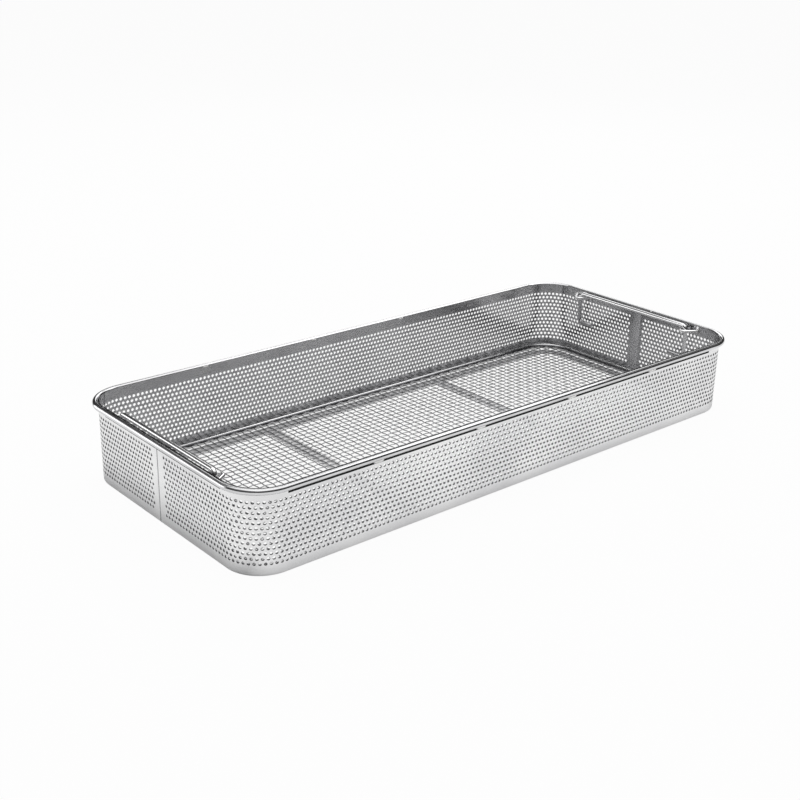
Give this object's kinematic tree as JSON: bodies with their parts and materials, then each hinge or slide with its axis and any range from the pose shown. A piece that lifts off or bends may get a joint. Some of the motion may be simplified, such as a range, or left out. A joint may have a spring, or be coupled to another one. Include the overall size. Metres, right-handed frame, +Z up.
{
  "type": "autoclave basket",
  "caption": "Perforated steel autoclave basket with a woven mesh floor, a rod rim and drop handles that lift at both ends.",
  "frame": {"origin": "middle of the underside", "axes": "+X along the basket's length, towards the right end; +Y towards the rear long wall; +Z up, out of the open top"},
  "size_m": [0.5498, 0.2426, 0.07],
  "materials": {
    "wall_sheet": "electropolished perforated stainless sheet, satin to bright",
    "rim_rod": "polished stainless rod with fine drawing marks",
    "floor_mesh": "bright woven stainless wire",
    "floor_strip": "satin stainless strip",
    "handle_wire": "polished stainless wire with fine drawing marks",
    "loop_wire": "polished stainless wire, tinted lightly near the welds"
  },
  "bodies": {
    "root": {"front_wall": "wall_sheet", "rear_wall": "wall_sheet", "rim_rod": "rim_rod", "floor_mesh": "floor_mesh", "floor_frame": "floor_strip", "left_cross_bar": "floor_strip", "right_cross_bar": "floor_strip", "left_front_loop": "loop_wire", "left_rear_loop": "loop_wire", "right_front_loop": "loop_wire", "right_rear_loop": "loop_wire"},
    "left_handle": {"left_handle": "handle_wire"},
    "right_handle": {"right_handle": "handle_wire"}
  },
  "joints": [
    {"name": "left_handle_lift", "type": "slide", "parent": "root", "child": "left_handle", "axis": [0, 0, 1], "range_m": [0, 0.0224]},
    {"name": "right_handle_lift", "type": "slide", "parent": "root", "child": "right_handle", "axis": [0, 0, 1], "range_m": [0, 0.0224]}
  ]
}
